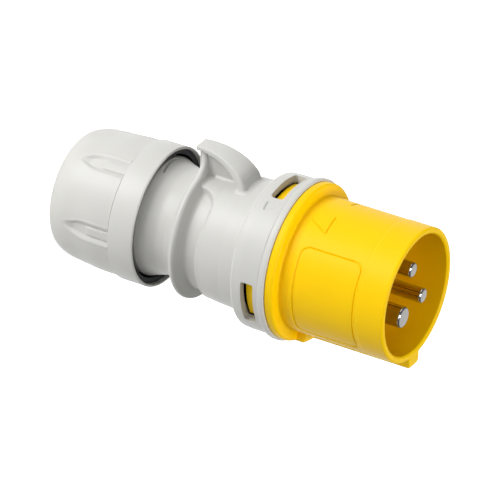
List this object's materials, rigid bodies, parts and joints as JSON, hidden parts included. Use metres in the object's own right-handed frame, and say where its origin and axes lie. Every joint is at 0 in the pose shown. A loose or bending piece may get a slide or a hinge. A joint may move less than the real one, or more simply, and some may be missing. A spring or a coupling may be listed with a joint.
{
  "type": "industrial pin-and-sleeve plug",
  "caption": "Handheld round power plug: yellow shroud over metal pins, bayonet collar, grey grip with hook, gland nut for the cable.",
  "frame": {"origin": "on the plug's axis, at the flat end of the gland nut where the cable goes in, which is the face it stands on", "axes": "+Z along the axis from the cable end to the pins, +X towards the hook, -X towards the key rib"},
  "size_m": [0.0576, 0.0532, 0.1238],
  "materials": {
    "grey_plastic": "fine moulded satin",
    "yellow_plastic": "moulded satin gloss",
    "nickel_plate": "bright nickel plate on brass",
    "zinc_steel": "zinc plated",
    "dark_plastic": "moulded matt",
    "black_rubber": "matt rubber"
  },
  "bodies": {
    "gland": {"gland_nut": "grey_plastic", "nut_sleeve": "black_rubber"},
    "clamp": {"thrust_washer": "dark_plastic", "clamp_cage": "dark_plastic", "gland_seal": "black_rubber"},
    "housing": {"housing": "grey_plastic", "face_seal": "black_rubber"},
    "insert": {"shroud": "yellow_plastic", "contact_carrier": "dark_plastic", "pin_line": "nickel_plate", "pin_neutral": "nickel_plate", "pin_earth": "nickel_plate", "wire_plate_line": "zinc_steel", "wire_plate_neutral": "zinc_steel", "wire_plate_earth": "zinc_steel", "terminal_screws": "zinc_steel", "earth_screw": "zinc_steel", "carrier_screws": "zinc_steel"}
  },
  "joints": [
    {"name": "nut_turn", "type": "hinge", "parent": "gland", "child": "clamp", "pos_m": [0, 0, 0], "axis": [0, 0, 1], "range_deg": [0, 1080]},
    {"name": "nut_travel", "type": "slide", "parent": "clamp", "child": "housing", "axis": [0, 0, 1], "range_m": [0, 0.009]},
    {"name": "insert_twist", "type": "hinge", "parent": "housing", "child": "insert", "pos_m": [0, 0, 0.0834], "axis": [0, 0, 1], "range_deg": [-37, 0]}
  ],
  "couplings": [
    {"joint": "nut_turn", "follows": "nut_travel", "rad_per_m": 2094.4}
  ]
}
